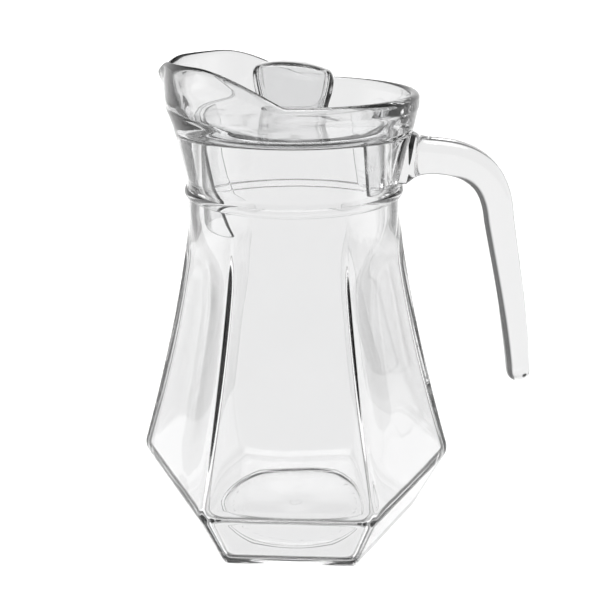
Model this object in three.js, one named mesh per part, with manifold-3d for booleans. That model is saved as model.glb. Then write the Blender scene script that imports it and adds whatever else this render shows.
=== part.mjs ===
// A large glass water jug with a lift-off lid, in millimetres, +Z up.
// The origin is on the neck's axis, in the plane that the jug stands on.
// The pouring lip points along -X and the handle along +X.
// The jug is a lathe-turned wall whose round neck turns into a hexagon below it. Two of the
// hexagon's corners lie on the X axis. The wall's profile is drawn at a corner of the hexagon.
import * as THREE from "three";
import Module from "manifold-3d";
import { mergeVertices } from "three/addons/utils/BufferGeometryUtils.js";

// Heights above the table
const RIM_Z = 209.8;
const RIM_BAND_Z = 203.5; // lower edge of the thick band round the rim
const LEDGE_Z = 193.4; // step inside the neck that the lid rests on
const BEAD_Z = 167; // raised ring between the neck and the body
const WAIST_Z = 159;
const FACETS_START_Z = 158; // the body is round above this
const FACETS_FULL_Z = 132; // and a full hexagon below this
const WIDEST_Z = 34.2;
const INNER_WIDEST_Z = 34.9;
const FLOOR_Z = 4;
const FLOOR_DOME = 1.5; // how far the middle of the floor rises

// Radii, measured at a corner where the wall is a hexagon
const RIM_R = 54.6;
const RIM_INNER_R = 50;
const LEDGE_R = 45.6;
const LEDGE_INNER_R = 44.1;
const NECK_R = 47.1;
const NECK_INNER_R = 42.7;
const BEAD_R = 2.2;
const WAIST_R = 47.8;
const WAIST_INNER_R = 43.3;
const WIDEST_R = 76.15;
const WIDEST_INNER_R = 72.2;
const BASE_R = 58.7;
const RECESS_R = 39;
const RECESS_DEPTH = 1;

// Facets: a soft hexagon, rounder on the inside than on the outside
const OUTER_EDGE_SHARPNESS = 100;
const INNER_EDGE_SHARPNESS = 50;
const FACE_THICKENING = 1; // how much thicker the wall is at the middle of a face
const FLAT_FLOOR_R = 32; // floor and underside stay round inside this radius
const FACETED_R = 50;

// Pouring lip
const WING_RISE = 13.3; // how far the rim rises on both sides of the lip
const WING_START = 89; // degrees from the lip, where the rim starts to rise
const WING_RAMP = 44; // degrees that the rise takes
const WING_THINNING = 0.55; // share of the wall's thickness that is gone at the wings
const WALL_MIDDLE_R = 52.3; // the wall at the wings is thinned towards this radius
const LIP_REACH = 6;
const LIP_DROP = 5.3;
const LIP_WIDTH = 9; // degrees
const LIP_ROOT_Z = 197;
const LIP_SPREAD = 1.8; // how far the neck bulges out round the lip
const LIP_SPREAD_WIDTH = 30; // degrees

// Handle, a bar that bends down from the neck and hangs free
const HANDLE_WIDTH = 15;
const HANDLE_ROOT_HALF = 8;
const HANDLE_END_R = 5.4;
const HANDLE_SQUARENESS = 0.62; // 1 is an ellipse, and less fills its corners
const HANDLE_ROOT_X = 46;

// Lid
const FIT_GAP = 0.3;
const FLANGE_BOTTOM_Z = LEDGE_Z + FIT_GAP;
const FLANGE_THICKNESS = 2;
const PLATE_TOP_Z = FLANGE_BOTTOM_Z + FLANGE_THICKNESS;
const SEAL_R = 44.9;
const PLATE_R = 42.2;
const LEG_R = 40.2;
const LEG_THICKNESS = 1.2;
// The legs hang down inside the neck. Directions and half spans are in degrees.
const FRONT_LEG = { direction: 183, bottomZ: 152, topHalfSpan: 25, bottomHalfSpan: 53 };
const REAR_LEG = { direction: 2, bottomZ: 168, topHalfSpan: 46, bottomHalfSpan: 40 };
const GRIP_TOP_Z = 222.2;
const GRIP_TOP_HALF_LENGTH = 17.5;
const GRIP_FOOT_HALF_LENGTH = 14;
const GRIP_HALF_THICKNESS = 8;
const GRIP_WALL = 1.6;
const GRIP_PEAK_X = -4.5; // the grip's top is highest here
const GRIP_ARCH = 0.0084; // and falls by this times the square of the distance from it

const TURN_STEPS = 60;
const CORNER_CROWDING = 0.5; // draws the lathe's columns towards the hexagon's corners
const DEGREE = Math.PI / 180;

const wasm = await Module();
wasm.setup();

const smoothstep = THREE.MathUtils.smoothstep;

/** Radius of a soft hexagon in a direction, as a share of its radius at a corner. */
function hexagonShare(angle, sharpness) {
  const fullness = (direction) => {
    let sum = 0;
    for (let face = 0; face < 6; face++) {
      const facing = Math.cos(direction - (face + 0.5) * 60 * DEGREE);
      sum += Math.max(facing, 0) ** sharpness;
    }
    return sum ** (1 / sharpness);
  };
  return fullness(0) / fullness(angle);
}

/** How much of the hexagon shows at a radius and height: 0 is round, 1 is a full hexagon. */
function facetWeight(radius, z) {
  const byHeight = 1 - smoothstep(z, FACETS_FULL_Z, FACETS_START_Z);
  return byHeight * smoothstep(radius, FLAT_FLOOR_R, FACETED_R);
}

/** Height that the rim gains at an angle from the lip, in degrees. */
function wingRise(fromLip) {
  const along = THREE.MathUtils.clamp((WING_START - fromLip) / WING_RAMP, 0, 1);
  return WING_RISE * Math.sin((along * Math.PI) / 2);
}

/** Moves a lathe-turned wall's points into the jug's facets, rim wings and lip. */
function shapeWall(geometry, isInner) {
  const points = geometry.attributes.position;
  const point = new THREE.Vector3();
  for (let i = 0; i < points.count; i++) {
    point.fromBufferAttribute(points, i);
    const turned = Math.atan2(point.y, point.x);
    const angle = turned - (CORNER_CROWDING * Math.sin(6 * turned)) / 6;
    let radius = Math.hypot(point.x, point.y);
    const sharpness = isInner(i) ? INNER_EDGE_SHARPNESS : OUTER_EDGE_SHARPNESS;
    const weight = facetWeight(radius, point.z);
    radius *= 1 - weight + weight * hexagonShare(angle, sharpness);
    const overWidest = THREE.MathUtils.clamp(point.z / WIDEST_Z - 1, 0, 1);
    const toFace = 0.5 - 0.5 * Math.cos(6 * angle);
    if (isInner(i)) radius -= FACE_THICKENING * weight * overWidest * toFace;

    const fromLip = 180 - Math.abs(angle) / DEGREE;
    const overBand = THREE.MathUtils.clamp((point.z - RIM_BAND_Z) / (RIM_Z - RIM_BAND_Z), 0, 1);
    const overRoot = THREE.MathUtils.clamp((point.z - LIP_ROOT_Z) / (RIM_Z - LIP_ROOT_Z), 0, 1);
    const lip = Math.exp(-((fromLip / LIP_WIDTH) ** 2));
    const rise = wingRise(fromLip);
    const thinning = (WING_THINNING * rise * overRoot) / WING_RISE;
    radius += (WALL_MIDDLE_R - radius) * thinning;
    const spread = LIP_SPREAD * Math.exp(-((fromLip / LIP_SPREAD_WIDTH) ** 2));
    const overLedge = smoothstep(point.z, LEDGE_Z + 3, RIM_BAND_Z);
    radius += LIP_REACH * lip * overRoot ** 2.6 + spread * overLedge * (1 - lip);
    const z = point.z + (rise - LIP_DROP * lip) * overBand;
    points.setXYZ(i, radius * Math.cos(angle), radius * Math.sin(angle), z);
  }
}

/** Outside of the wall, from the middle of the underside to the rim's crest. */
function outerProfile() {
  const path = new THREE.Path();
  path.moveTo(0, RECESS_DEPTH);
  path.lineTo(RECESS_R - 2.5, RECESS_DEPTH);
  path.lineTo(RECESS_R, 0);
  path.lineTo(BASE_R - 2, 0);
  path.quadraticCurveTo(BASE_R, 0, BASE_R + 1.5, 2.6);
  path.lineTo(WIDEST_R - 1.95, WIDEST_Z - 3.4);
  path.quadraticCurveTo(WIDEST_R, WIDEST_Z, WIDEST_R - 1.05, WIDEST_Z + 3.8);
  path.bezierCurveTo(54.5, 106.6, 47.7, 150, WAIST_R, WAIST_Z);
  path.lineTo(WAIST_R - 0.2, BEAD_Z - BEAD_R);
  path.absarc(WAIST_R + 1.2 - BEAD_R, BEAD_Z, BEAD_R, -64 * DEGREE, 62 * DEGREE, false);
  path.lineTo(NECK_R, BEAD_Z + 4.2);
  path.lineTo(RIM_R - 1.2, RIM_BAND_Z - 4.5);
  path.quadraticCurveTo(RIM_R - 0.7, RIM_BAND_Z - 0.8, RIM_R, RIM_BAND_Z + 0.8);
  path.lineTo(RIM_R - 0.1, RIM_Z - 2);
  path.quadraticCurveTo(RIM_R - 0.3, RIM_Z, RIM_R - 2.5, RIM_Z);
  return path;
}

/** Inside of the wall, from the rim's crest to the middle of the floor. */
function innerProfile() {
  const path = new THREE.Path();
  path.moveTo(RIM_INNER_R + 1.6, RIM_Z);
  path.quadraticCurveTo(RIM_INNER_R + 0.2, RIM_Z, RIM_INNER_R, RIM_Z - 1.8);
  path.lineTo(LEDGE_R + 0.8, LEDGE_Z + 3.6);
  path.lineTo(LEDGE_R, LEDGE_Z);
  path.lineTo(LEDGE_INNER_R, LEDGE_Z);
  path.lineTo(NECK_INNER_R, BEAD_Z + 4);
  path.quadraticCurveTo(NECK_INNER_R, BEAD_Z - 2, WAIST_INNER_R, WAIST_Z);
  path.bezierCurveTo(44.6, 141, 51.5, 96, WIDEST_INNER_R - 0.7, INNER_WIDEST_Z + 2.5);
  path.quadraticCurveTo(WIDEST_INNER_R, INNER_WIDEST_Z, WIDEST_INNER_R - 1.5, INNER_WIDEST_Z - 2.5);
  path.lineTo(BASE_R + 0.6, FLOOR_Z + 4);
  path.quadraticCurveTo(BASE_R - 1.6, FLOOR_Z, BASE_R - 6, FLOOR_Z);
  path.quadraticCurveTo(24, FLOOR_Z, 0, FLOOR_Z + FLOOR_DOME);
  return path;
}

const pathPoints = (path, divisions) => path.getPoints(divisions);

/** A closed profile of (radius, height) turned round the Z axis. */
function turned(profile, steps = TURN_STEPS) {
  return new THREE.LatheGeometry(profile, steps).rotateX(Math.PI / 2);
}

function jugBody() {
  const outer = pathPoints(outerProfile(), 6);
  const inner = pathPoints(innerProfile(), 6);
  const profile = [...outer, ...inner];
  const geometry = turned(profile);
  shapeWall(geometry, (i) => i % profile.length >= outer.length);
  return geometry;
}

/** A closed mesh as a manifold solid, for joining and cutting. */
function solid(geometry) {
  const bare = geometry.clone().deleteAttribute("normal").deleteAttribute("uv");
  const merged = mergeVertices(bare, 1e-3);
  const corners = merged.index.array;
  const triangles = [];
  for (let i = 0; i < corners.length; i += 3) {
    const [a, b, c] = corners.slice(i, i + 3);
    if (a !== b && b !== c && c !== a) triangles.push(a, b, c);
  }
  return new wasm.Manifold(
    new wasm.Mesh({
      numProp: 3,
      vertProperties: new Float32Array(merged.attributes.position.array),
      triVerts: new Uint32Array(triangles),
    }),
  );
}

function geometryOf(manifold) {
  const mesh = manifold.getMesh();
  const geometry = new THREE.BufferGeometry();
  geometry.setAttribute("position", new THREE.BufferAttribute(mesh.vertProperties, 3));
  geometry.setIndex(new THREE.BufferAttribute(mesh.triVerts, 1));
  return geometry;
}

/** The middle of the handle, in the XZ plane, from inside the neck's wall to its free end. */
function handleSpine() {
  const at = (x, z) => new THREE.Vector3(x, 0, z);
  const spine = new THREE.CurvePath();
  spine.add(new THREE.LineCurve3(at(HANDLE_ROOT_X, 182), at(60, 181.8)));
  spine.add(new THREE.CubicBezierCurve3(at(60, 181.8), at(80, 181.5), at(89.2, 173), at(91.6, 155)));
  spine.add(new THREE.CubicBezierCurve3(at(91.6, 155), at(96.5, 132), at(104, 104), at(107.4, 74)));
  return spine;
}

/** Everything inside the neck's outer surface, with the fit gap round it. */
function neckRoom() {
  const profile = [new THREE.Vector2(0, BEAD_Z)];
  for (const point of pathPoints(outerProfile(), 6)) {
    if (point.y > BEAD_Z) profile.push(new THREE.Vector2(point.x + FIT_GAP, point.y));
  }
  profile.push(new THREE.Vector2(0, RIM_Z));
  return turned(profile);
}

/** A bar of rounded oblong section along the spine, slimmer towards its round free end. */
function handle() {
  const spine = handleSpine();
  const length = spine.getLength();
  const bar = new THREE.CylinderGeometry(1, 1, 1, 20, 44);
  const points = bar.attributes.position;
  const section = new THREE.Vector3();
  for (let i = 0; i < points.count; i++) {
    section.fromBufferAttribute(points, i);
    const along = Math.sin(((0.5 - section.y) * Math.PI) / 2);
    const centre = spine.getPointAt(along);
    const tangent = spine.getTangentAt(along);
    const toEnd = THREE.MathUtils.clamp(1 - ((1 - along) * length) / HANDLE_END_R, 0, 1);
    const fullness = Math.sqrt(1 - toEnd ** 2);
    const halfHeight = THREE.MathUtils.lerp(HANDLE_ROOT_HALF, HANDLE_END_R, along ** 1.3) * fullness;
    const across = Math.sign(section.x) * Math.abs(section.x) ** HANDLE_SQUARENESS * halfHeight;
    const aside = Math.sign(section.z) * Math.abs(section.z) ** HANDLE_SQUARENESS;
    points.setXYZ(
      i,
      centre.x - tangent.z * across,
      (-aside * HANDLE_WIDTH * fullness) / 2,
      centre.z + tangent.x * across,
    );
  }
  return geometryOf(solid(bar).subtract(solid(neckRoom())));
}

/** A curved wall hanging from the plate, whose span changes from its top to its bottom. */
function lidLeg({ direction, bottomZ, topHalfSpan, bottomHalfSpan }) {
  const topZ = FLANGE_BOTTOM_Z + 1;
  const leg = new THREE.BoxGeometry(1, 1, 1, 16, 1, 6);
  const points = leg.attributes.position;
  const point = new THREE.Vector3();
  for (let i = 0; i < points.count; i++) {
    point.fromBufferAttribute(points, i);
    const down = 0.5 - point.z;
    const halfSpan = THREE.MathUtils.lerp(topHalfSpan, bottomHalfSpan, down ** 1.3);
    const angle = (direction + 2 * point.x * halfSpan) * DEGREE;
    const radius = LEG_R - (0.5 + point.y) * LEG_THICKNESS;
    const z = THREE.MathUtils.lerp(topZ, bottomZ, down);
    points.setXYZ(i, radius * Math.cos(angle), radius * Math.sin(angle), z);
  }
  return leg;
}

function lidPlate() {
  const plate = new THREE.CylinderGeometry(PLATE_R, PLATE_R, FLANGE_THICKNESS, TURN_STEPS);
  plate.rotateX(Math.PI / 2).translate(0, 0, FLANGE_BOTTOM_Z + FLANGE_THICKNESS / 2);
  return geometryOf(solid(plate).add(solid(lidLeg(FRONT_LEG))).add(solid(lidLeg(REAR_LEG))));
}

/** The soft ring round the plate, which rests on the ledge in the neck. */
function lidSeal() {
  const inner = PLATE_R + FIT_GAP;
  const top = FLANGE_BOTTOM_Z + FLANGE_THICKNESS;
  const lip = 0.5;
  const profile = [
    [inner, FLANGE_BOTTOM_Z], [SEAL_R - lip, FLANGE_BOTTOM_Z], [SEAL_R, FLANGE_BOTTOM_Z + lip],
    [SEAL_R, top - lip], [SEAL_R - lip, top], [inner, top], [inner, FLANGE_BOTTOM_Z],
  ];
  return turned(profile.map(([radius, z]) => new THREE.Vector2(radius, z)));
}

/** A hollow cap, open below, that widens upwards for the fingers. */
function lidGrip() {
  const foot = PLATE_TOP_Z + FIT_GAP;
  const height = GRIP_TOP_Z - foot;
  const shell = new THREE.Path();
  shell.moveTo(0, foot + height - GRIP_WALL);
  shell.lineTo(0.8, foot + height - GRIP_WALL);
  shell.quadraticCurveTo(0.86, foot + height - GRIP_WALL, 0.86, foot + height - 3 * GRIP_WALL);
  shell.lineTo(0.8, foot);
  shell.lineTo(1, foot);
  shell.lineTo(1, foot + height - 4);
  shell.quadraticCurveTo(1, foot + height - 1.2, 0.9, foot + height - 0.8);
  shell.lineTo(0.5, foot + height - 0.2);
  shell.lineTo(0, foot + height);
  const geometry = turned(pathPoints(shell, 4), 32);
  const points = geometry.attributes.position;
  const point = new THREE.Vector3();
  for (let i = 0; i < points.count; i++) {
    point.fromBufferAttribute(points, i);
    const up = smoothstep(point.z, foot, GRIP_TOP_Z - 4);
    const length = THREE.MathUtils.lerp(GRIP_FOOT_HALF_LENGTH, GRIP_TOP_HALF_LENGTH, up);
    const squareness = 0.55; // an exponent under 1 fills the corners of the ellipse
    const x = Math.sign(point.x) * Math.abs(point.x) ** squareness;
    const y = Math.sign(point.y) * Math.abs(point.y) ** squareness;
    const share = Math.hypot(point.x, point.y) ** (1 - squareness);
    const alongX = length * x * share;
    const fall = GRIP_ARCH * (alongX - GRIP_PEAK_X) ** 2 * up;
    points.setXYZ(i, alongX, GRIP_HALF_THICKNESS * y * share, point.z - fall);
  }
  return geometry;
}

const glass = () =>
  new THREE.MeshStandardMaterial({ color: 0xe6ebea, roughness: 0.04, metalness: 0, transparent: true, opacity: 0.35 });
const clearPlastic = () =>
  new THREE.MeshStandardMaterial({ color: 0xdcdedf, roughness: 0.12, metalness: 0, transparent: true, opacity: 0.4 });
const softSeal = () =>
  new THREE.MeshStandardMaterial({ color: 0xd5d8d9, roughness: 0.35, metalness: 0, transparent: true, opacity: 0.5 });

function named(name, geometry, material) {
  const mesh = new THREE.Mesh(geometry, material);
  mesh.name = name;
  return mesh;
}

const jug = new THREE.Group();
jug.add(named("jug_body", jugBody(), glass()), named("handle", handle(), glass()));

const lid = new THREE.Group();
lid.add(
  named("lid_seal", lidSeal(), softSeal()),
  named("lid_plate", lidPlate(), clearPlastic()),
  named("lid_grip", lidGrip(), clearPlastic()),
);

const assembly = new THREE.Group();
assembly.add(jug, lid);

export default assembly;
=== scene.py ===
"""A clear glass water jug with a lift-out plastic lid, on a pale studio floor.

Metres, +Z up. The pouring lip points along -X and the handle along +X.
"""

import math

import bmesh
import bpy
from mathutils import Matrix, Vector


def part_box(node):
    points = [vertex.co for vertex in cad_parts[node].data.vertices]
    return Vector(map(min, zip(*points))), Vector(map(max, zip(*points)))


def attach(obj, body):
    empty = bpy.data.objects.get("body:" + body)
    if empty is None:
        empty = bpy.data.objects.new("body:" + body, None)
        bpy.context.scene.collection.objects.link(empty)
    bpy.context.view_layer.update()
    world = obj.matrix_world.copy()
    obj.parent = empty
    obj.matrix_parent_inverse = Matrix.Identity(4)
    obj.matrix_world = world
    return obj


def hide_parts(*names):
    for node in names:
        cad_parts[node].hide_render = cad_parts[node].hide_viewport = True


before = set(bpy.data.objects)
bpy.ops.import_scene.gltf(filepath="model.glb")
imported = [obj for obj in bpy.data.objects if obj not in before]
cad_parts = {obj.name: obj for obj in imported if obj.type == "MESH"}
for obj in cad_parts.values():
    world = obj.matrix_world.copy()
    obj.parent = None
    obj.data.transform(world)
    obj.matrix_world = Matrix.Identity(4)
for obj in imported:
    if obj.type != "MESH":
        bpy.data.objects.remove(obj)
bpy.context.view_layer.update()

MM = 0.001
DEGREE = math.pi / 180
CREASE = 35 * DEGREE  # faces that meet at more than this show an edge

# ---------------------------------------------------------------- sizes, in millimetres
# Heights above the table. The radii are measured at a corner where the wall is a hexagon.
RIM_Z = 209.8
RIM_BAND_Z = 203.5
LEDGE_Z = 193.4
BEAD_Z = 167.0
WAIST_Z = 159.0
FACETS_START_Z = 158.0
FACETS_FULL_Z = 132.0
WIDEST_Z = 34.2
FLOOR_Z = 4.0
FLOOR_DOME = 1.5
INNER_KNEE_RISE = 0.7

RIM_R = 54.6
RIM_INNER_R = 50.0
LEDGE_R = 45.6
LEDGE_INNER_R = 44.1
NECK_R = 47.1
NECK_INNER_R = 42.7
BEAD_R = 2.2
WAIST_R = 47.8
WAIST_INNER_R = 43.3
WIDEST_R = 76.15
WIDEST_INNER_R = 72.2
BASE_R = 58.7
RECESS_R = 39.0
RECESS_DEPTH = 1.0
UNDERSIDE_DOME = 1.5

RIDGE_SHARPNESS_LOW = 75.0
RIDGE_SHARPNESS_HIGH = 220.0
INNER_SHARPNESS = 50.0
FACE_THICKENING = 1.0
FLAT_FLOOR_R = 32.0
FACETED_R = 50.0

WING_RISE = 13.3
WING_START = 89.0
WING_RAMP = 44.0
WING_THINNING = 0.55
WALL_MIDDLE_R = 52.3
LIP_REACH = 6.0
LIP_DROP = 5.3
LIP_WIDTH = 9.0
LIP_ROOT_Z = 197.0
LIP_SPREAD = 1.8
LIP_SPREAD_WIDTH = 30.0
CORNER_CROWDING = 0.85
VESSEL_COLUMNS = 336.0
UNEVENNESS = 0.12

HANDLE_HALF_WIDTH = 7.5
HANDLE_ROOT_HALF = 8.0
HANDLE_END_R = 5.4
HANDLE_SQUARENESS = 0.62
HANDLE_ROOT_X = 46.0
HANDLE_FLARE = 4.6
HANDLE_FLARE_LENGTH = 4.2

MARK_RING_R = 31.5
MARK_RING_Z = 1.36
MARK_CENTRE_Z = 2.49
MARK_LENGTH = 3.2
MARK_WIDTH = 0.26
MARK_COUNT = 40.0
CENTRE_RING_R = 2.6
CENTRE_COUNT = 5.0

seal_low, seal_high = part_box("lid_seal")
plate_low, plate_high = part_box("lid_plate")
grip_low, grip_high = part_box("lid_grip")
SEAL_R = seal_high.x / MM
SEAL_BOTTOM = seal_low.z / MM
PLATE_R = plate_high.x / MM
PLATE_TOP = plate_high.z / MM
LEG_R = 40.2
LEG_THICKNESS = 1.2
FRONT_LEG = (183, 152, 25, 53)
REAR_LEG = (2, 168, 46, 40)
GRIP_FOOT = grip_low.z / MM
GRIP_TOP = 222.2
GRIP_HALF_LENGTH = grip_high.x / MM
GRIP_FOOT_HALF_LENGTH = 14.0
GRIP_HALF_THICKNESS = grip_high.y / MM
GRIP_WALL = 1.6
GRIP_PEAK_X = -4.5
GRIP_ARCH = 0.0084

# ---------------------------------------------------------------- the studio, in metres
CAMERA_DISTANCE = 0.4011
CAMERA_HEIGHT = 0.2625
CAMERA_TURN = 3.2 * DEGREE  # round the jug, so that its handle is nearer the camera
CAMERA_AIM = -0.892 * DEGREE  # to the right of the jug's axis
CAMERA_PITCH = -21.0 * DEGREE
FOCAL_LENGTH_MM = 53.02695
SENSOR_WIDTH_MM = 36.0

FLOOR_HALF = 9.0
FLOOR_TOP = -0.0004
FLOOR_TONE = 0.92
SUN_ENERGY = 2.9
SUN_ANGLE = 60 * DEGREE
WORLD_LOW = 0.28
WORLD_OVERHEAD = 0.3
WORLD_WALLS = 0.8

PANEL_AWAY = 1.4
PANEL_SIZE = 1.5
PANEL_BRIGHT = 0.46
PANEL_TONE = 0.89
PANEL_ABOVE = 1.10
PANEL_BELOW = 0.50
PANEL_FADE = 0.18
PANEL_DIM = 0.15


# ---------------------------------------------------------------- nodes
class Wire:
    """An output socket. Arithmetic on it adds Math nodes to its tree."""

    def __init__(self, net, socket):
        self.net = net
        self.socket = socket

    def __add__(self, other):
        return self.net.math("ADD", self, other)

    def __sub__(self, other):
        return self.net.math("SUBTRACT", self, other)

    def __rsub__(self, other):
        return self.net.math("SUBTRACT", other, self)

    def __mul__(self, other):
        return self.net.math("MULTIPLY", self, other)

    def __truediv__(self, other):
        return self.net.math("DIVIDE", self, other)

    def __rtruediv__(self, other):
        return self.net.math("DIVIDE", other, self)

    def __pow__(self, other):
        return self.net.math("POWER", self, other)

    def __rpow__(self, other):
        return self.net.math("POWER", other, self)

    __radd__ = __add__
    __rmul__ = __mul__


class Net:
    """A node tree that nodes are added to."""

    def __init__(self, tree):
        self.tree = tree

    def add(self, kind, settings=None, inputs=None):
        """Adds a node: its settings first, then the values or wires of its sockets."""
        node = self.tree.nodes.new(kind)
        for name, value in (settings or {}).items():
            setattr(node, name, value)
        for key, value in (inputs or {}).items():
            if isinstance(value, Wire):
                self.tree.links.new(value.socket, node.inputs[key])
            else:
                node.inputs[key].default_value = value
        return node

    def wire(self, kind, settings=None, inputs=None, output=0):
        return Wire(self, self.add(kind, settings, inputs).outputs[output])

    def math(self, operation, *values):
        return self.wire("ShaderNodeMath", {"operation": operation}, dict(enumerate(values)))

    def ramp(self, value, start, end, smooth=False):
        """0 where value is at start, 1 where it is at end, and held past both."""
        kind = "SMOOTHSTEP" if smooth else "LINEAR"
        inputs = {"Value": value, "From Min": start, "From Max": end}
        return self.wire("ShaderNodeMapRange", {"interpolation_type": kind}, inputs)


# ---------------------------------------------------------------- outlines
class Outline:
    """A line drawn through points, curves and arcs, as (radius, height) pairs."""

    def __init__(self, start):
        self.points = [Vector(start)]

    def line(self, end, steps=1):
        start = self.points[-1].copy()
        for step in range(1, steps + 1):
            self.points.append(start.lerp(Vector(end), step / steps))
        return self

    def curve(self, *controls, steps=8):
        """A Bezier curve from the last point, through its controls, to the last of them."""
        hull = [self.points[-1].copy(), *(Vector(control) for control in controls)]
        for step in range(1, steps + 1):
            layer = hull
            while len(layer) > 1:
                layer = [a.lerp(b, step / steps) for a, b in zip(layer, layer[1:])]
            self.points.append(layer[0])
        return self

    def arc(self, centre, radius, start, end, steps=12):
        for step in range(steps + 1):
            angle = (start + (end - start) * step / steps) * DEGREE
            offset = Vector((math.cos(angle), math.sin(angle))) * radius
            self.points.append(Vector(centre) + offset)
        return self


def outer_outline():
    """Outside of the glass, from the middle of the underside to the rim's crest."""
    edge = RECESS_R - 2.6
    outline = Outline((0, RECESS_DEPTH + UNDERSIDE_DOME))
    outline.curve((edge * 0.5, RECESS_DEPTH + UNDERSIDE_DOME), (edge, RECESS_DEPTH), steps=9)
    outline.curve((RECESS_R - 2.4, RECESS_DEPTH), (RECESS_R - 2.3, 0.6), steps=3)
    outline.line((RECESS_R - 0.8, 0.5)).curve((RECESS_R - 0.6, 0), (RECESS_R, 0), steps=4)
    outline.line((BASE_R - 2, 0), 4)
    outline.curve((BASE_R, 0), (BASE_R + 1.5, 2.6), steps=8)
    outline.line((WIDEST_R - 1.95, WIDEST_Z - 3.4), 9)
    outline.curve((WIDEST_R, WIDEST_Z), (WIDEST_R - 1.05, WIDEST_Z + 3.8), steps=9)
    outline.curve((54.5, 106.6), (47.7, 150), (WAIST_R, WAIST_Z), steps=38)
    outline.line((WAIST_R - 0.1, BEAD_Z - 3.4), 2)
    outline.arc((WAIST_R + 1.2 - BEAD_R, BEAD_Z), BEAD_R, -64, 62, 12)
    outline.line((NECK_R + 0.1, BEAD_Z + 4.0), 2)
    outline.line((RIM_R - 1.2, RIM_BAND_Z - 4.5), 9)
    outline.curve((RIM_R - 0.7, RIM_BAND_Z - 1.2), (RIM_R, RIM_BAND_Z + 0.6), steps=6)
    outline.line((RIM_R - 0.1, RIM_Z - 2.4), 4)
    outline.curve((RIM_R - 0.2, RIM_Z), (RIM_R - 2.6, RIM_Z), steps=7)
    return outline.points


def inner_outline():
    """Inside of the glass, from the rim's crest to the middle of the floor."""
    outline = Outline((RIM_INNER_R + 1.8, RIM_Z))
    outline.curve((RIM_INNER_R + 0.1, RIM_Z), (RIM_INNER_R, RIM_Z - 2), steps=7)
    outline.line((LEDGE_R + 0.9, LEDGE_Z + 4), 6)
    outline.curve((LEDGE_R, LEDGE_Z + 0.2), (LEDGE_R - 0.6, LEDGE_Z), steps=4)
    outline.line((LEDGE_INNER_R + 0.5, LEDGE_Z))
    outline.curve((LEDGE_INNER_R, LEDGE_Z), (LEDGE_INNER_R, LEDGE_Z - 0.7), steps=3)
    outline.line((NECK_INNER_R, BEAD_Z + 4), 7)
    outline.curve((NECK_INNER_R, BEAD_Z - 2), (WAIST_INNER_R, WAIST_Z), steps=8)
    knee = WIDEST_Z + INNER_KNEE_RISE
    outline.curve((44.6, 141), (51.5, 96), (WIDEST_INNER_R - 0.7, knee + 2.5), steps=38)
    outline.curve((WIDEST_INNER_R, knee), (WIDEST_INNER_R - 1.5, knee - 2.5), steps=8)
    outline.line((BASE_R + 0.6, FLOOR_Z + 4), 8)
    outline.curve((BASE_R - 1.6, FLOOR_Z), (BASE_R - 6, FLOOR_Z), steps=9)
    outline.curve((24, FLOOR_Z), (0, FLOOR_Z + FLOOR_DOME), steps=10)
    return outline.points


# ---------------------------------------------------------------- mesh helpers
def new_object(name, mesh, body, *replaced):
    """Puts a finished mesh in the scene, riding on a body in place of its CAD nodes."""
    piece = bpy.data.objects.new(name, mesh)
    bpy.context.scene.collection.objects.link(piece)
    for polygon in mesh.polygons:
        polygon.use_smooth = True
    mesh.set_sharp_from_angle(angle=CREASE)
    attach(piece, body)
    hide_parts(*replaced)
    return piece


def mesh_from(name, vertices, faces):
    """A mesh from points in millimetres, welded where points coincide."""
    mesh = bpy.data.meshes.new(name)
    mesh.from_pydata([tuple(Vector(v) * MM) for v in vertices], [], faces)
    shape = bmesh.new()
    shape.from_mesh(mesh)
    bmesh.ops.remove_doubles(shape, verts=shape.verts, dist=1e-6)
    bmesh.ops.dissolve_degenerate(shape, edges=shape.edges, dist=1e-7)
    bmesh.ops.recalc_face_normals(shape, faces=shape.faces)
    if shape.calc_volume(signed=True) < 0:
        bmesh.ops.reverse_faces(shape, faces=shape.faces)
    shape.to_mesh(mesh)
    shape.free()
    return mesh


def grid_faces(rows, columns):
    """Quads between the rows of a grid whose columns close on themselves."""
    faces = []
    for row in range(rows - 1):
        for column in range(columns):
            beside = (column + 1) % columns
            low, high = row * columns, (row + 1) * columns
            faces.append((low + column, low + beside, high + beside, high + column))
    return faces


def joined(name, whole, *others):
    """One closed mesh from several overlapping ones."""
    scratch = [bpy.data.objects.new("scratch", mesh) for mesh in (whole, *others)]
    for item in scratch:
        bpy.context.scene.collection.objects.link(item)
    for other in scratch[1:]:
        union = scratch[0].modifiers.new("union", "BOOLEAN")
        union.operation = "UNION"
        union.solver = "EXACT"
        union.object = other
    mesh = evaluated(scratch[0])
    mesh.name = name
    for item in scratch:
        bpy.data.objects.remove(item)
    return mesh


def evaluated(item):
    """A plain mesh of an object with its modifiers applied."""
    graph = bpy.context.evaluated_depsgraph_get()
    return bpy.data.meshes.new_from_object(item.evaluated_get(graph))


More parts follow.
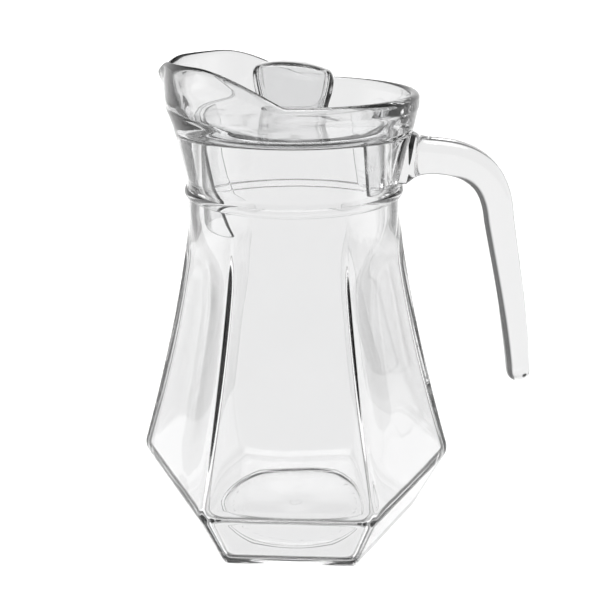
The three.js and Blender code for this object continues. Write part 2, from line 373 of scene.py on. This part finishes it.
# ---------------------------------------------------------------- the glass jug
def vessel_tree():
    """Turns an outline into the jug: round neck, soft hexagon belly, rim wings and lip."""
    tree = bpy.data.node_groups.new("faceted_vessel", "GeometryNodeTree")
    net = Net(tree)
    sizes = {
        "Columns": VESSEL_COLUMNS,
        "Rows": 230.0,
        "Wing Rise": WING_RISE * MM,
        "Lip Reach": LIP_REACH * MM,
        "Lip Drop": LIP_DROP * MM,
        "Unevenness": UNEVENNESS * MM,
    }
    tree.interface.new_socket("Geometry", in_out="INPUT", socket_type="NodeSocketGeometry")
    for name, value in sizes.items():
        socket = tree.interface.new_socket(name, in_out="INPUT", socket_type="NodeSocketFloat")
        socket.default_value = value
    tree.interface.new_socket("Material", in_out="INPUT", socket_type="NodeSocketMaterial")
    tree.interface.new_socket("Geometry", in_out="OUTPUT", socket_type="NodeSocketGeometry")
    group = net.add("NodeGroupInput")

    def given(name):
        return Wire(net, group.outputs[name])

    columns = given("Columns")
    counts = {"Vertices X": given("Rows"), "Vertices Y": columns + 1}
    grid = net.wire("GeometryNodeMeshGrid", inputs=counts)
    index = net.wire("GeometryNodeInputIndex")
    row = net.math("FLOOR", (index + 0.5) / (columns + 1))
    column = index - row * (columns + 1)

    def on_outline(kind, value):
        picked = {"Geometry": given("Geometry"), "Value": value, "Index": row}
        return net.wire("GeometryNodeSampleIndex", {"data_type": kind}, picked)

    drawn = on_outline("FLOAT_VECTOR", net.wire("GeometryNodeInputPosition"))
    split = net.add("ShaderNodeSeparateXYZ", inputs={0: drawn})
    radius, height = Wire(net, split.outputs[0]), Wire(net, split.outputs[2])
    stored = {"Name": "inside"}
    inside = on_outline("FLOAT", net.wire("GeometryNodeInputNamedAttribute", inputs=stored))

    turned = column / columns * (2 * math.pi) - math.pi / 2
    angle = turned - net.math("SINE", turned * 6) * (CORNER_CROWDING / 6)

    # The soft hexagon
    up_ridge = net.ramp(height, WIDEST_Z * MM, FACETS_FULL_Z * MM)
    ridge = RIDGE_SHARPNESS_LOW + up_ridge * (RIDGE_SHARPNESS_HIGH - RIDGE_SHARPNESS_LOW)
    sharpness = ridge + inside * (INNER_SHARPNESS - ridge)
    fullness = 0.0
    for face in range(6):
        facing = net.math("COSINE", angle - (face + 0.5) * 60 * DEGREE)
        fullness = net.math("MAXIMUM", facing, 0.0) ** sharpness + fullness
    at_corner = math.cos(30 * DEGREE) * 2.0 ** (1.0 / sharpness)
    share = at_corner / fullness ** (1.0 / sharpness)
    low_down = 1.0 - net.ramp(height, FACETS_FULL_Z * MM, FACETS_START_Z * MM, smooth=True)
    weight = low_down * net.ramp(radius, FLAT_FLOOR_R * MM, FACETED_R * MM, smooth=True)
    radius = radius * (1.0 - weight + weight * share)
    over_widest = net.ramp(height, WIDEST_Z * MM, 2 * WIDEST_Z * MM)
    to_face = 0.5 - net.math("COSINE", angle * 6) * 0.5
    radius = radius - inside * weight * over_widest * to_face * (FACE_THICKENING * MM)

    # The rim wings and the lip
    from_lip = net.math("ARCCOSINE", net.math("COSINE", angle) * -1) / DEGREE
    ramped = net.ramp(from_lip, WING_START, WING_START - WING_RAMP)
    wing = net.math("SINE", ramped * (math.pi / 2))
    lip = math.e ** ((from_lip / LIP_WIDTH) ** 2 * -1)
    over_band = net.ramp(height, RIM_BAND_Z * MM, RIM_Z * MM)
    over_root = net.ramp(height, LIP_ROOT_Z * MM, RIM_Z * MM)
    thinning = wing * over_root * WING_THINNING
    radius = radius + (WALL_MIDDLE_R * MM - radius) * thinning
    spread = math.e ** ((from_lip / LIP_SPREAD_WIDTH) ** 2 * -1) * (LIP_SPREAD * MM)
    over_ledge = net.ramp(height, (LEDGE_Z + 3) * MM, RIM_BAND_Z * MM, smooth=True)
    radius = radius + given("Lip Reach") * lip * over_root**2.6 + spread * over_ledge * (1.0 - lip)
    height = height + (given("Wing Rise") * wing - given("Lip Drop") * lip) * over_band

    # The wall's slight waves, stronger on the inside, which no mould touched
    flat = {"X": net.math("COSINE", angle) * radius, "Y": net.math("SINE", angle) * radius}
    place = net.wire("ShaderNodeCombineXYZ", inputs={**flat, "Z": height * 0.4})
    noise = net.wire("ShaderNodeTexNoise", inputs={"Vector": place, "Scale": 38.0, "Detail": 1.0})
    strength = (0.25 + inside * 0.75) * (1.0 + net.ramp(height, 45 * MM, 20 * MM) * 2)
    wave = (noise - 0.5) * 2 * given("Unevenness") * strength
    away_from_axis = net.ramp(radius, 0.0, 30 * MM)
    radius = radius + wave * away_from_axis

    shaped = {
        "X": net.math("COSINE", angle) * radius,
        "Y": net.math("SINE", angle) * radius,
        "Z": height,
    }
    place = net.wire("ShaderNodeCombineXYZ", inputs=shaped)
    moved = net.wire("GeometryNodeSetPosition", inputs={"Geometry": grid, "Position": place})
    welded = net.wire("GeometryNodeMergeByDistance", inputs={"Geometry": moved, "Distance": 1e-6})
    plain = net.wire("GeometryNodeRealizeInstances", inputs={"Geometry": welded})
    finish = {"Geometry": plain, "Material": given("Material")}
    net.add("NodeGroupOutput", inputs={0: net.wire("GeometryNodeSetMaterial", inputs=finish)})
    return tree


def apply_tree(name, mesh, tree, values):
    """Runs a node tree on a mesh with its named inputs set, and gives back a plain mesh."""
    scratch = bpy.data.objects.new(name, mesh)
    bpy.context.scene.collection.objects.link(scratch)
    modifier = scratch.modifiers.new(name, "NODES")
    modifier.node_group = tree
    for socket in tree.interface.items_tree:
        if socket.in_out == "INPUT" and socket.name in values:
            modifier[socket.identifier] = values[socket.name]
    result = evaluated(scratch)
    bpy.data.objects.remove(scratch)
    return result


def outward(mesh):
    """Turns a closed mesh's faces to point outwards."""
    shape = bmesh.new()
    shape.from_mesh(mesh)
    bmesh.ops.dissolve_degenerate(shape, edges=shape.edges, dist=1e-7)
    if shape.calc_volume(signed=True) < 0:
        bmesh.ops.reverse_faces(shape, faces=shape.faces)
    shape.to_mesh(mesh)
    shape.free()
    return mesh


def vessel_mesh(material):
    outer, inner = outer_outline(), inner_outline()
    rows = [*outer, *inner]
    mesh = bpy.data.meshes.new("outline")
    mesh.from_pydata([(r * MM, 0, z * MM) for r, z in rows], [], [])
    inside = mesh.attributes.new("inside", "FLOAT", "POINT")
    inside.data.foreach_set("value", [0.0] * len(outer) + [1.0] * len(inner))
    values = {"Rows": float(len(rows)), "Columns": VESSEL_COLUMNS, "Material": material}
    return outward(apply_tree("vessel", mesh, vessel_tree(), values))


def handle_spine(steps=120):
    """Points along the middle of the handle, from inside the neck's wall to its free end."""
    spine = Outline((HANDLE_ROOT_X, 182)).line((60, 181.8), 40)
    spine.curve((80, 181.5), (89.2, 173), (91.6, 155), steps=steps // 2)
    spine.curve((96.5, 132), (104, 104), (107.4, 74), steps=steps)
    return spine.points


def handle_mesh():
    """A bar of rounded oblong section that flares into the neck and ends in a round tip."""
    spine = handle_spine()
    lengths = [0.0]
    for before, after in zip(spine, spine[1:]):
        lengths.append(lengths[-1] + (after - before).length)
    columns = 56
    vertices = []
    for i, (centre, length) in enumerate(zip(spine, lengths)):
        ahead = spine[min(i + 1, len(spine) - 1)] - spine[max(i - 1, 0)]
        ahead.normalize()
        along = length / lengths[-1]
        to_end = min(max(1 - (lengths[-1] - length) / HANDLE_END_R, 0.0), 1.0)
        fullness = math.sqrt(1 - to_end**2)
        half = HANDLE_ROOT_HALF + (HANDLE_END_R - HANDLE_ROOT_HALF) * along**1.3
        from_wall = max(length - (NECK_R - HANDLE_ROOT_X + 2.5), 0.0)
        flare = HANDLE_FLARE * math.exp(-((from_wall / HANDLE_FLARE_LENGTH) ** 1.4))
        for column in range(columns):
            turn = 2 * math.pi * column / columns
            across, aside = math.cos(turn), math.sin(turn)
            across = math.copysign(abs(across) ** HANDLE_SQUARENESS, across)
            aside = math.copysign(abs(aside) ** HANDLE_SQUARENESS, aside)
            rise = across * (half + flare) * fullness
            y = aside * (HANDLE_HALF_WIDTH + flare * 0.8) * fullness
            vertices.append((centre.x - ahead.y * rise, y, centre.y + ahead.x * rise))
    faces = grid_faces(len(spine), columns)
    faces.append(tuple(range(columns)))
    return mesh_from("handle", vertices, faces)


def dash_mesh():
    """A short wavy stroke with tapered ends, raised all round."""
    stations, columns = 15, 8
    vertices = []
    for station in range(stations):
        along = 2 * station / (stations - 1) - 1
        fullness = max(math.sqrt(1 - along**2), 0.02) * MARK_WIDTH / 2
        bend = 0.25 * math.sin(4.2 * along) * along
        for column in range(columns):
            turn = 2 * math.pi * column / columns
            y = bend + fullness * math.cos(turn)
            vertices.append((along * MARK_LENGTH / 2, y, fullness * math.sin(turn)))
    faces = grid_faces(stations, columns)
    faces.append(tuple(range(columns)))
    faces.append(tuple((stations - 1) * columns + column for column in range(columns)))
    return mesh_from("dash", vertices, faces)


def marks_tree():
    """Sets copies of a stroke round a ring, each turned and scaled a little differently."""
    tree = bpy.data.node_groups.new("ring_of_marks", "GeometryNodeTree")
    net = Net(tree)
    sizes = {"Count": MARK_COUNT, "Radius": MARK_RING_R * MM, "Height": 0.0, "Seed": 3.0}
    tree.interface.new_socket("Geometry", in_out="INPUT", socket_type="NodeSocketGeometry")
    for name, value in sizes.items():
        socket = tree.interface.new_socket(name, in_out="INPUT", socket_type="NodeSocketFloat")
        socket.default_value = value
    tree.interface.new_socket("Material", in_out="INPUT", socket_type="NodeSocketMaterial")
    tree.interface.new_socket("Geometry", in_out="OUTPUT", socket_type="NodeSocketGeometry")
    group = net.add("NodeGroupInput")
    count, radius, height, seed = (Wire(net, group.outputs[name]) for name in sizes)

    index = net.wire("GeometryNodeInputIndex")

    def scattered(low, high, offset):
        limits = {"Seed": seed + offset, "ID": index}
        node = net.add("FunctionNodeRandomValue", {"data_type": "FLOAT"}, limits)
        node.inputs[2].default_value = low
        node.inputs[3].default_value = high
        return Wire(net, node.outputs[1])

    turn = (index + scattered(-0.2, 0.2, 0)) / count * (2 * math.pi)
    reach = radius + scattered(-0.5, 0.5, 1) * MM
    place = net.wire("ShaderNodeCombineXYZ", inputs={
        "X": net.math("COSINE", turn) * reach,
        "Y": net.math("SINE", turn) * reach,
        "Z": height,
    })
    line = net.wire("GeometryNodeMeshLine", inputs={"Count": count})
    spots = net.wire("GeometryNodeSetPosition", inputs={"Geometry": line, "Position": place})
    aim = turn + math.pi / 2 + scattered(-0.5, 0.5, 2)
    aim = net.wire("ShaderNodeCombineXYZ", inputs={"Z": aim})
    facing = net.wire("FunctionNodeEulerToRotation", inputs={"Euler": aim})
    copies = net.wire("GeometryNodeInstanceOnPoints", inputs={
        "Points": spots,
        "Instance": Wire(net, group.outputs["Geometry"]),
        "Rotation": facing,
        "Scale": scattered(0.55, 1.0, 3),
    })
    plain = net.wire("GeometryNodeRealizeInstances", inputs={"Geometry": copies})
    finish = {"Geometry": plain, "Material": Wire(net, group.outputs["Material"])}
    net.add("NodeGroupOutput", inputs={0: net.wire("GeometryNodeSetMaterial", inputs=finish)})
    return tree


def marks_meshes(material):
    """The knurled ring and the small centre mark on the underside, as raised strokes."""
    tree = marks_tree()
    ring = {"Count": MARK_COUNT, "Radius": MARK_RING_R * MM, "Height": MARK_RING_Z * MM}
    centre = {
        "Count": CENTRE_COUNT,
        "Radius": CENTRE_RING_R * MM,
        "Height": MARK_CENTRE_Z * MM,
        "Seed": 8.0,
    }
    return [
        apply_tree("marks", dash_mesh(), tree, {**values, "Material": material})
        for values in (ring, centre)
    ]


def build_glass(material):
    mesh = joined("glass_jug", vessel_mesh(material), handle_mesh(), *marks_meshes(material))
    mesh.materials.clear()
    mesh.materials.append(material)
    jug = new_object("glass_jug", mesh, "jug", "jug_body", "handle")
    return jug


# ---------------------------------------------------------------- the lid
def lathe_mesh(name, outline, columns=180):
    vertices = []
    for radius, height in outline:
        for column in range(columns):
            turn = 2 * math.pi * column / columns
            vertices.append((radius * math.cos(turn), radius * math.sin(turn), height))
    return mesh_from(name, vertices, grid_faces(len(outline), columns))


def closed(outline):
    return [*outline.points, outline.points[0].copy()]


def seal_mesh():
    inner = PLATE_R + 0.3
    top = seal_high.z / MM
    outline = Outline((inner, SEAL_BOTTOM)).line((SEAL_R - 0.6, SEAL_BOTTOM))
    outline.curve((SEAL_R, SEAL_BOTTOM), (SEAL_R, SEAL_BOTTOM + 0.7), steps=5)
    outline.line((SEAL_R, top - 0.7)).curve((SEAL_R, top), (SEAL_R - 0.7, top), steps=5)
    outline.line((inner, top))
    return lathe_mesh("lid_seal_ring", closed(outline))


def leg_mesh(direction, bottom, top_span, bottom_span):
    """A curved tongue that stands in the neck, with round edges, centred on a direction."""
    columns, rows = 60, 64
    top, radius = SEAL_BOTTOM + 1, LEG_R - LEG_THICKNESS / 2
    vertices = []
    for column in range(columns + 1):
        share = -math.cos(math.pi * column / columns)
        edge = math.sqrt(max(1 - abs(share) ** 40, 0.0))
        for row in range(rows):
            around = 2 * math.pi * row / rows
            out, up = math.cos(around), math.sin(around)
            thick = math.copysign(abs(out) ** 0.5, out) * LEG_THICKNESS / 2 * max(edge, 1e-3)
            rise = math.copysign(abs(up) ** 0.12, up)
            corner = 1.5 * abs(share) ** 12 if rise < 0 else 0.0
            height = (bottom + top) / 2 + rise * (top - bottom) / 2 + corner * -rise
            along = min(max((top - height) / (top - bottom), 0), 1)
            span = top_span + (bottom_span - top_span) * along**1.3
            turn = (direction + span * share) * DEGREE
            reach = radius + thick
            vertices.append((reach * math.cos(turn), reach * math.sin(turn), height))
    faces = grid_faces(columns + 1, rows)
    faces.append(tuple(range(rows)))
    faces.append(tuple(columns * rows + row for row in range(rows)))
    return mesh_from("leg", vertices, faces)


def plate_mesh():
    outline = Outline((0, SEAL_BOTTOM)).line((PLATE_R - 0.5, SEAL_BOTTOM), 8)
    outline.curve((PLATE_R, SEAL_BOTTOM), (PLATE_R, SEAL_BOTTOM + 0.5), steps=4)
    outline.line((PLATE_R, PLATE_TOP - 0.5))
    outline.curve((PLATE_R, PLATE_TOP), (PLATE_R - 0.5, PLATE_TOP), steps=4)
    outline.line((0, PLATE_TOP), 8)
    return lathe_mesh("plate", outline.points)


def grip_mesh():
    """A hollow cap, open below, that widens upwards for the fingers."""
    columns = 96
    shell = Outline((0, GRIP_TOP - GRIP_WALL)).line((0.78, GRIP_TOP - GRIP_WALL), 4)
    shell.curve((0.86, GRIP_TOP - GRIP_WALL), (0.86, GRIP_TOP - 2.6 * GRIP_WALL), steps=6)
    shell.line((0.82, GRIP_FOOT + 0.4), 12).curve((0.82, GRIP_FOOT), (0.86, GRIP_FOOT), steps=3)
    shell.line((0.96, GRIP_FOOT)).curve((1, GRIP_FOOT), (1, GRIP_FOOT + 0.5), steps=3)
    shell.line((1, GRIP_TOP - 5), 12)
    shell.curve((1, GRIP_TOP - 1.6), (0.9, GRIP_TOP - 0.9), steps=8)
    shell.curve((0.6, GRIP_TOP), (0, GRIP_TOP), steps=8)
    vertices = []
    for share, height in shell.points:
        up = min(max((height - GRIP_FOOT) / (GRIP_TOP - 4 - GRIP_FOOT), 0), 1)
        up = up * up * (3 - 2 * up)
        length = GRIP_FOOT_HALF_LENGTH + (GRIP_HALF_LENGTH - GRIP_FOOT_HALF_LENGTH) * up
        for column in range(columns):
            turn = 2 * math.pi * column / columns
            x = math.copysign(abs(math.cos(turn)) ** 0.55, math.cos(turn))
            y = math.copysign(abs(math.sin(turn)) ** 0.55, math.sin(turn))
            along = length * x * share
            fall = GRIP_ARCH * (along - GRIP_PEAK_X) ** 2 * up
            vertices.append((along, GRIP_HALF_THICKNESS * y * share, height - fall))
    return mesh_from("lid_grip_cap", vertices, grid_faces(len(shell.points), columns))


def build_lid(plastic, soft):
    plate = joined("lid_plug", plate_mesh(), leg_mesh(*REAR_LEG), leg_mesh(*FRONT_LEG))
    plate.materials.clear()
    plate.materials.append(plastic)
    plug = new_object("lid_plug", plate, "lid", "lid_plate")
    cap = grip_mesh()
    cap.materials.append(plastic)
    grip = new_object("lid_grip_cap", cap, "lid", "lid_grip")
    ring = seal_mesh()
    ring.materials.append(soft)
    seal = new_object("lid_seal_ring", ring, "lid_seat", "lid_seal")
    return [plug, grip, seal]


# ---------------------------------------------------------------- materials
def material_net(name):
    """A new material's net and its Principled shader."""
    material = bpy.data.materials.new(name)
    material.use_nodes = True
    tree = material.node_tree
    return material, Net(tree), tree.nodes["Principled BSDF"]


def clear_material(name, pale, deep, roughness, ior, ripple):
    """A clear moulded material: faint streaks of tint, tiny smudges and a rippled surface."""
    material, net, shader = material_net(name)
    place = net.wire("ShaderNodeTexCoord", output="Object")
    tall = net.wire("ShaderNodeMapping", inputs={"Vector": place, "Scale": (1.0, 1.0, 0.35)})
    streaks = net.wire("ShaderNodeTexNoise", inputs={"Vector": tall, "Scale": 30.0, "Detail": 2.0})
    tints = {0: streaks, 6: (*pale, 1.0), 7: (*deep, 1.0)}  # factor, colour A, colour B
    tint = net.wire("ShaderNodeMix", {"data_type": "RGBA"}, tints, output=2)
    net.tree.links.new(tint.socket, shader.inputs["Base Color"])
    smudge = net.wire("ShaderNodeTexNoise", inputs={"Vector": place, "Scale": 90.0, "Detail": 3.0})
    rough = net.ramp(smudge, 0.45, 0.8, smooth=True) * roughness
    net.tree.links.new(rough.socket, shader.inputs["Roughness"])
    waves = net.wire("ShaderNodeTexNoise", inputs={"Vector": tall, "Scale": 55.0, "Detail": 1.5})
    bump = {"Strength": 1.0, "Distance": ripple * MM, "Height": waves}
    normal = net.wire("ShaderNodeBump", inputs=bump)
    net.tree.links.new(normal.socket, shader.inputs["Normal"])
    shader.inputs["Transmission Weight"].default_value = 1.0
    shader.inputs["IOR"].default_value = ior
    return material


# ---------------------------------------------------------------- studio
def square(half, height):
    return [(x * half, y * half, height) for x, y in ((-1, -1), (1, -1), (1, 1), (-1, 1))]


def stage_plane(name, corners, colour):
    mesh = bpy.data.meshes.new(name)
    mesh.from_pydata(corners, [], [(0, 1, 2, 3)])
    plane = bpy.data.objects.new(name, mesh)
    bpy.context.scene.collection.objects.link(plane)
    material, net, shader = material_net(name)
    place = net.wire("ShaderNodeTexCoord", output="Object")
    grain = net.wire("ShaderNodeTexNoise", inputs={"Vector": place, "Scale": 400.0})
    tone = net.ramp(grain, 0.0, 1.0) * 0.01 + (colour - 0.005)
    shade = net.wire("ShaderNodeCombineColor", inputs={0: tone, 1: tone, 2: tone})
    net.tree.links.new(shade.socket, shader.inputs["Base Color"])
    shader.inputs["Roughness"].default_value = 0.9
    shader.inputs["Specular IOR Level"].default_value = 0.0
    mesh.materials.append(material)
    return plane


def build_camera():
    data = bpy.data.cameras.new("camera")
    camera = bpy.data.objects.new("camera", data)
    bpy.context.scene.collection.objects.link(camera)
    away = Vector((math.sin(CAMERA_TURN), -math.cos(CAMERA_TURN), 0)) * CAMERA_DISTANCE
    camera.location = away + Vector((0, 0, CAMERA_HEIGHT))
    look = 90 * DEGREE + CAMERA_TURN + CAMERA_AIM
    level = Vector((math.cos(look), math.sin(look), 0))
    forward = level * math.cos(CAMERA_PITCH) + Vector((0, 0, math.sin(CAMERA_PITCH)))
    camera.rotation_euler = forward.to_track_quat("-Z", "Y").to_euler()
    data.sensor_width = SENSOR_WIDTH_MM
    data.lens = FOCAL_LENGTH_MM
    data.clip_start = 0.01
    data.clip_end = 50.0
    bpy.context.scene.camera = camera
    return camera


def build_backdrop(camera):
    """A lit panel that faces the camera from behind the jug, pale in its middle, grey outside.

    It moves with the camera, and only rays that pass through a clear piece meet it.
    """
    mesh = bpy.data.meshes.new("lit_panel")
    mesh.from_pydata(square(PANEL_SIZE, -PANEL_AWAY), [], [(0, 1, 2, 3)])
    panel = bpy.data.objects.new("lit_panel", mesh)
    bpy.context.scene.collection.objects.link(panel)
    panel.parent = camera
    material, net, shader = material_net("lit_panel")
    place = net.wire("ShaderNodeTexCoord", output="Object")
    split = net.add("ShaderNodeSeparateXYZ", inputs={0: place})
    across = net.math("ABSOLUTE", Wire(net, split.outputs[0]))
    up = Wire(net, split.outputs[1])
    inside_x = 1.0 - net.ramp(across, PANEL_BRIGHT, PANEL_BRIGHT + PANEL_FADE, smooth=True)
    below = 1.0 - net.ramp(up * -1, PANEL_BELOW, PANEL_BELOW + PANEL_FADE, smooth=True)
    above = 1.0 - net.ramp(up, PANEL_ABOVE, PANEL_ABOVE + PANEL_FADE, smooth=True)
    inside_y = below * above
    tone = PANEL_DIM + inside_x * inside_y * (PANEL_TONE - PANEL_DIM)
    glow = net.wire("ShaderNodeCombineColor", inputs={0: tone, 1: tone, 2: tone})
    net.tree.links.new(glow.socket, shader.inputs["Emission Color"])
    shader.inputs["Emission Strength"].default_value = 1.0
    shader.inputs["Base Color"].default_value = (0, 0, 0, 1)
    shader.inputs["Specular IOR Level"].default_value = 0.0
    mesh.materials.append(material)
    panel.visible_camera = False
    panel.visible_diffuse = False
    panel.visible_glossy = False
    panel.visible_shadow = False


def build_studio(camera):
    scene = bpy.context.scene
    scene.view_settings.view_transform = "Standard"
    floor = stage_plane("floor", square(FLOOR_HALF, FLOOR_TOP), FLOOR_TONE)
    floor.visible_transmission = False
    build_backdrop(camera)

    world = bpy.data.worlds.new("studio")
    world.use_nodes = True
    scene.world = world
    net = Net(world.node_tree)
    place = net.wire("ShaderNodeTexCoord", output="Generated")
    split = net.add("ShaderNodeSeparateXYZ", inputs={0: place})
    away, up = Wire(net, split.outputs[1]), Wire(net, split.outputs[2])
    walls = net.ramp(away, -0.45, 0.05, smooth=True) * net.ramp(up, 0.6, 0.2, smooth=True)
    overhead = net.ramp(up, 0.3, 0.9, smooth=True)
    bright = WORLD_LOW + overhead * WORLD_OVERHEAD + walls * WORLD_WALLS
    background = world.node_tree.nodes["Background"]
    net.tree.links.new(bright.socket, background.inputs["Strength"])
    background.inputs["Color"].default_value = (1.0, 1.0, 1.0, 1.0)

    sun = bpy.data.objects.new("overhead", bpy.data.lights.new("overhead", "SUN"))
    sun.data.energy = SUN_ENERGY
    sun.data.angle = SUN_ANGLE
    scene.collection.objects.link(sun)


camera = build_camera()
build_studio(camera)
glass = clear_material(
    "clear_glass",
    pale=(0.992, 0.992, 0.993),
    deep=(0.978, 0.979, 0.981),
    roughness=0.02,
    ior=1.5,
    ripple=0.05,
)
plastic = clear_material(
    "clear_plastic",
    pale=(0.965, 0.966, 0.969),
    deep=(0.945, 0.947, 0.95),
    roughness=0.3,
    ior=1.49,
    ripple=0.04,
)
soft = clear_material(
    "soft_seal",
    pale=(0.9, 0.905, 0.91),
    deep=(0.86, 0.865, 0.87),
    roughness=0.12,
    ior=1.45,
    ripple=0.03,
)
jug = build_glass(glass)
lid = build_lid(plastic, soft)
for piece in [jug, *lid]:
    piece.visible_shadow = False
